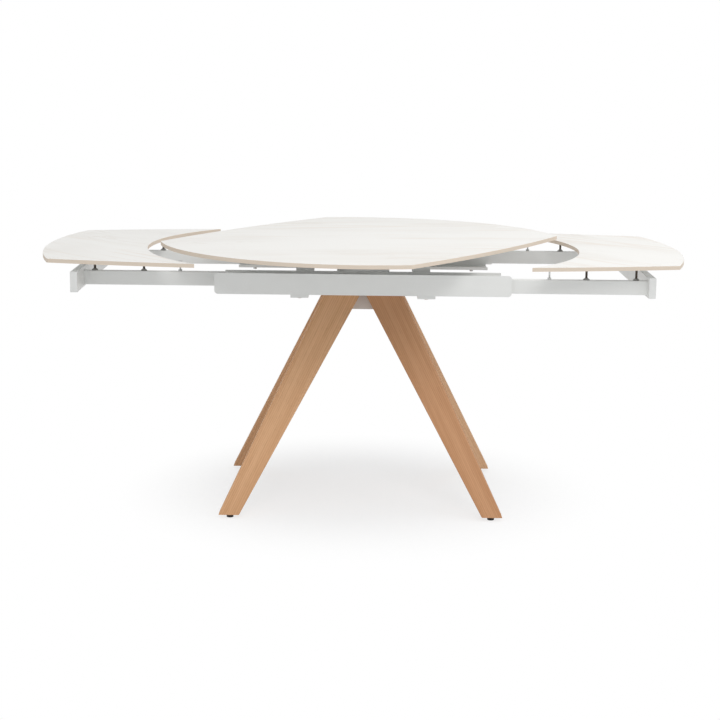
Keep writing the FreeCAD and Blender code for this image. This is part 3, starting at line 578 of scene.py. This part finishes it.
turned = {
    "sameRadius": 0.0003,  # radii closer than this are one
    "onAxis": 0.001,  # radii up to this are points on the axis
    "topBand": 0.0005,  # points this close to the top belong to it
}


def rings(points):  # middle of an upright turned solid, and its radii with the heights at which each occurs
    bottom = min(point.z for point in points)
    lowest = [point for point in points if point.z < bottom + meshing["weld"]]
    middle = sum(lowest, Vector()) / len(lowest)
    middle.z = 0
    found = {}
    for radius, height in sorted(((point.xy - middle.xy).length, point.z) for point in points):
        same = next((known for known in found if abs(known - radius) < turned["sameRadius"]), radius)
        found.setdefault(same, set()).add(round(height, 5))
    return middle, {radius: sorted(found[radius]) for radius in sorted(found)}


def lathe(shape, middle, outline, steps=meshing["steps"]):  # from (radius, height) rows, axis to axis
    start = [shape.verts.new(middle + Vector((radius, 0, height))) for radius, height in outline]
    line = [shape.edges.new(pair) for pair in zip(start, start[1:])]
    before = set(shape.verts) - set(start)
    bmesh.ops.spin(shape, geom=start + line, cent=middle, axis=(0, 0, 1), angle=math.tau, steps=steps,
                   use_merge=True)
    fresh = [vert for vert in shape.verts if vert not in before]
    bmesh.ops.remove_doubles(shape, verts=fresh, dist=meshing["poleWeld"])


def thread(radius, depth, pitch, low, high):  # rows of an outline with ridges from low to high
    turns = max(1, int((high - low) / pitch))
    step = (high - low) / turns
    rows = []
    for i in range(turns):
        rows += [(radius - depth, low + i * step), (radius, low + (i + 0.5) * step)]
    return rows + [(radius - depth, high)]


def hexagon(shape, middle, radius, low, high, chamfer):
    place = Matrix.Translation(middle + Vector((0, 0, (low + high) / 2)))
    made = bmesh.ops.create_cone(shape, cap_ends=True, segments=6, radius1=radius, radius2=radius,
                                 depth=high - low, matrix=place)
    edges = {edge for vert in made["verts"] for edge in vert.link_edges}
    level = [edge for edge in edges if abs(edge.verts[0].co.z - edge.verts[1].co.z) < meshing["weld"]]
    soften(shape, level, chamfer)


# tops: marble print, tan edge and pale underside, with a fine arris
tops = {
    "arris": 0.0011,
    "rimAngle": 60,  # degrees; the arris runs on edges steeper than this
    "level": 0.7,  # a face whose normal rises or falls more than this is a top or an underside
    "veinTurn": math.radians(-48),
    "turn": {"left_leaf": 0.0, "right_leaf": 0.0, "centre_panel": math.radians(57)},
}


def addTop(node, turn):
    shape = merged(node)
    level = tops["level"]
    for face in shape.faces:
        face.material_index = 0 if face.normal.z > level else 2 if face.normal.z < -level else 1
    rim = [edge for edge in corners(shape, tops["rimAngle"])
           if any(face.normal.z > level for face in edge.link_faces)]
    soften(shape, rim, tops["arris"])
    addPiece(shape, node, [marbleFace(camel(node) + "Marble", turn + tops["veinTurn"]), edgeBand, underside])


for node, turn in tops["turn"].items():
    addTop(node, turn)
print("tops dressed")


# legs: each from its own oak board, grain along the leg, ends brought down over low feet
legs = {
    "arris": 0.0014,
    "shortest": 0.03,  # edges under this stay sharp
    "endBand": 0.001,  # points this close to an end belong to it
    "footShow": 0.0110,  # floor to the wood
    "boardStep": Vector((0.013, 0.021, 0.61)),  # from one leg's place in the timber to the next
    "tint": {  # how each board differs from the next; the rear right board is also made paler, painted light standing in for light that falls on its side from the right
        "front_left_leg": (1.05, 1.05, 1.10),
        "front_right_leg": (0.86, 0.79, 0.80),
        "rear_left_leg": (0.92, 0.90, 0.93),
        # painted light: this leg's paler colour stands in for light from the right falling on its side
        "rear_right_leg": (1.12, 1.20, 1.36),
    },
}


def legAxis(node):
    points = [vert.co for vert in nodes[node].data.vertices]
    low, high = boxOf(node)
    lowEnd = [point for point in points if point.z < low.z + legs["endBand"]]
    highEnd = [point for point in points if point.z > high.z - legs["endBand"]]
    return (sum(highEnd, Vector()) / len(highEnd) - sum(lowEnd, Vector()) / len(lowEnd)).normalized()


def lowerEnd(shape, axis):
    lowest = min(vert.co.z for vert in shape.verts)
    ends = [vert for vert in shape.verts if vert.co.z < lowest + legs["endBand"]]
    bmesh.ops.translate(shape, verts=ends, vec=axis * (legs["footShow"] - lowest) / axis.z)


for number, (node, tint) in enumerate(legs["tint"].items()):
    shape = merged(node)
    axis = legAxis(node)
    lowerEnd(shape, axis)
    soften(shape, corners(shape, shortest=legs["shortest"]), legs["arris"])
    addPiece(shape, node, [oakBoard(camel(node) + "Oak", axis, legs["boardStep"] * number, tint)])
print("legs dressed")


# coated steel and plastics: corner rounding for each kind of piece, and the shortest edge that is rounded
rounding = {
    "beam": (0.0016, 0.01),
    "plugs": (0.0012, 0.01),
    "housing": (0.0009, 0.004),
    "member": (0.0012, 0.008),
    "bearer": (0.0014, 0.008),
    "post": (0.0012, 0.006),
    "hub": (0.0009, 0.008),
    "plate": (0.0008, 0.01),
}

for node in sorted(nodes):
    kind = node.split("_")[-1]
    if kind in rounding:
        width, shortest = rounding[kind]
        shape = merged(node)
        soften(shape, corners(shape, shortest=shortest), width)
        addPiece(shape, node)
print("frame dressed")


# rails: smooth closed tubes, on shoes that stand beside them and reach under them
rails = {
    "wall": 0.0025,
    "corner": 0.0020,
    "cornerSegments": 3,
    "endOn": 0.9,  # a face that looks along the rail more than this is an end
    "gap": 0.0006,  # rail to shoe
    "shoeArris": 0.0006,
    "shoeShortest": 0.006,
    "padRim": 0.0016,  # rise of the flat pad past the table's middle
}


def addRail(node):
    low, high = boxOf(node)
    size = high - low
    shape = bmesh.new()
    place = Matrix.Translation((low + high) / 2) @ Matrix.Diagonal((*size, 1))
    bmesh.ops.create_cube(shape, size=1.0, matrix=place)
    long = [edge for edge in shape.edges if edge.calc_length() > size.x / 2]
    soften(shape, long, rails["corner"], rails["cornerSegments"])
    ends = [face for face in shape.faces if abs(face.normal.x) > rails["endOn"]]
    bmesh.ops.delete(shape, geom=ends, context="FACES_ONLY")
    bmesh.ops.solidify(shape, geom=shape.faces[:], thickness=rails["wall"])
    addPiece(shape, node)


def cutAt(shape, place, normal, clear=False):
    everything = shape.verts[:] + shape.edges[:] + shape.faces[:]
    cut = bmesh.ops.bisect_plane(shape, geom=everything, plane_co=place, plane_no=normal, clear_outer=clear)
    return [item for item in cut["geom_cut"] if isinstance(item, bmesh.types.BMEdge)]


def addShoes(node):
    low, high = boxOf(node.replace("shoes", "rail"))
    outward = 1 if low.y > 0 else -1
    beside = (low.y if outward > 0 else high.y) - outward * rails["gap"]
    under = low.z - rails["gap"]
    shape = merged(node)
    rim = cutAt(shape, (0, beside, 0), (0, outward, 0), clear=True)
    bmesh.ops.holes_fill(shape, edges=rim)
    cutAt(shape, (0, 0, under), (0, 0, 1))
    middles = {face: face.calc_center_median() for face in shape.faces}
    lower = [face for face, middle in middles.items()
             if abs(middle.y - beside) < meshing["weld"] and middle.z < under]
    ledge = bmesh.ops.extrude_face_region(shape, geom=lower)["geom"]
    bmesh.ops.delete(shape, geom=[face for face in lower if face.is_valid], context="FACES_ONLY")
    tips = [item for item in ledge if isinstance(item, bmesh.types.BMVert)]
    bmesh.ops.translate(shape, verts=tips, vec=(0, outward * (high.y - low.y), 0))
    for vert in shape.verts:
        pastMiddle = vert.co.x * (low.x + high.x) < 0
        if pastMiddle and vert.co.z > under + rails["gap"]:
            vert.co.z = under + rails["padRim"]
    joinFlat(shape)
    bmesh.ops.recalc_face_normals(shape, faces=shape.faces)
    soften(shape, corners(shape, shortest=rails["shoeShortest"]), rails["shoeArris"])
    addPiece(shape, node)


for node in sorted(nodes):
    if node.endswith("_rail"):
        addRail(node)
    elif node.endswith("_shoes"):
        addShoes(node)
print("rails dressed")


# bolts and panel rests: hexagon heads and nuts on threaded shanks
bolts = {
    "chamfer": 0.0005,
    "pitch": 0.00125,
    "depth": 0.00028,
    "steps": 20,
    "shorter": {"rests": 0.0060, "shoe_bolts": 0.0075},  # tops that end below the solids' tops
}
pad = {"radius": 0.0062, "thickness": 0.0014, "steps": 24}  # on top of a panel rest
dome = {  # low round head under a cross member
    "node": "cross_member_bolts",
    "radius": 0.0086,
    "flat": 0.0052,  # radius of the level part
    "height": 0.0024,
    "side": 0.0008,  # height of the upright part
}


def addDome(shape, middle, high):
    low = high - dome["height"]
    lathe(shape, middle, [(0, low), (dome["flat"], low), (dome["radius"], high - dome["side"]),
                          (dome["radius"], high), (0, high)])


def addPad(shape, middle, top):
    under = top - pad["thickness"]
    outline = [(0, under), (pad["radius"], under), (pad["radius"], top), (0, top)]
    lathe(shape, middle, outline, pad["steps"])


def addBolts(node):
    shape = bmesh.new()
    drop = next((less for ending, less in bolts["shorter"].items() if node.endswith(ending)), 0.0)
    for points in islands(node):
        highest = max(point.z for point in points)
        for point in points:
            if point.z > highest - turned["topBand"]:
                point.z -= drop
        middle, found = rings(points)
        radii = [radius for radius in found if radius > turned["onAxis"]]
        for radius in radii:
            levels = found[radius]
            for low, high in zip(levels[::2], levels[1::2]):
                if radius == min(radii):
                    rows = thread(radius, bolts["depth"], bolts["pitch"], low, high)
                    lathe(shape, middle, [(0, low)] + rows + [(0, high)], bolts["steps"])
                elif node == dome["node"] and low == levels[0]:
                    addDome(shape, middle, high)
                else:
                    hexagon(shape, middle, radius, low, high, bolts["chamfer"])
        if node.endswith("_rests"):
            addPad(shape, middle, highest - drop)
    bmesh.ops.recalc_face_normals(shape, faces=shape.faces)
    addPiece(shape, node)


# levelling feet: low cone base, threaded stud with a plain end
cone = {
    "edge": 0.0007,
    "rim": 0.0024,
    "crown": 0.0062,
    "plain": 0.003,  # length without thread at the top
    "stouter": 0.0004,  # added to the radius of the solid's stud
    "baseSteps": 32,
    "studSteps": 24,
}


def addLevellingFeet(node):
    shape = bmesh.new()
    edge = cone["edge"]
    for points in islands(node):
        middle, found = rings(points)
        stud, base = min(found), max(found)
        low, top, high = found[base][0], found[stud][0], found[stud][-1]
        neck = max(radius for radius, levels in found.items() if top in levels)
        rim, crown = low + cone["rim"], low + cone["crown"]
        outline = [(0, low), (base - edge, low), (base, low + edge), (base, rim - edge), (base - edge, rim),
                   (neck + edge, crown - edge), (neck, crown), (0, crown)]
        before = len(shape.faces)
        lathe(shape, middle, outline, cone["baseSteps"])
        shape.faces.ensure_lookup_table()
        for face in shape.faces[before:]:
            face.material_index = 1
        bar, plain = stud + cone["stouter"], high - cone["plain"]
        rows = thread(bar, bolts["depth"], bolts["pitch"], crown, plain)
        lathe(shape, middle, [(0, crown)] + rows + [(bar, plain), (bar, high), (0, high)], cone["studSteps"])
    bmesh.ops.recalc_face_normals(shape, faces=shape.faces)
    addPiece(shape, node, [looks[slotOf[node]], coneZinc])


# rubber feet: dished tread, and a groove under the collar
foot = {"dish": 0.0006, "tread": 0.0030, "edge": 0.0007, "groove": 0.0006, "collar": 0.0012, "steps": 40}


def addFoot(node):
    low, high = boxOf(node)
    middle = Vector(((low.x + high.x) / 2, (low.y + high.y) / 2, 0))
    radius = (high.x - low.x) / 2
    top = legs["footShow"]
    dish, edge, groove = foot["dish"], foot["edge"], foot["groove"]
    tread = radius - foot["tread"]
    waist = top - foot["collar"]
    outline = [(0, dish), (tread - dish, dish), (tread, 0), (radius - edge, 0), (radius, edge),
               (radius, waist - 2 * groove), (radius - groove, waist - groove), (radius - groove, waist),
               (radius, waist + groove), (radius, top), (0, top)]
    shape = bmesh.new()
    lathe(shape, middle, outline, foot["steps"])
    bmesh.ops.recalc_face_normals(shape, faces=shape.faces)
    addPiece(shape, node)


for node in sorted(nodes):
    if node.endswith("_levelling_feet"):
        addLevellingFeet(node)
    elif node.endswith(("_bolts", "_rests", "_screws")):
        addBolts(node)
    elif node.endswith("_foot"):
        addFoot(node)
print("hardware dressed")


# turning gear keeps its solids, with small chamfers
gear = {
    "steep": 40,  # degrees; edges steeper than this are chamfered
    "chamfer": {"pedestal": 0.0009, "pedestal_bush": 0.0005, "swivel_tube": 0.0005, "lift_pin": 0.0008},
}

for node, width in gear["chamfer"].items():
    shape = merged(node)
    soften(shape, corners(shape, gear["steep"]), width)
    addPiece(shape, node)
print("turning gear dressed")

# the hidden solids take their slot's finish, or the tan edge where the slot has none of its own here
for node, piece in nodes.items():
    piece.data.materials.clear()
    piece.data.materials.append(looks.get(slotOf[node], edgeBand))
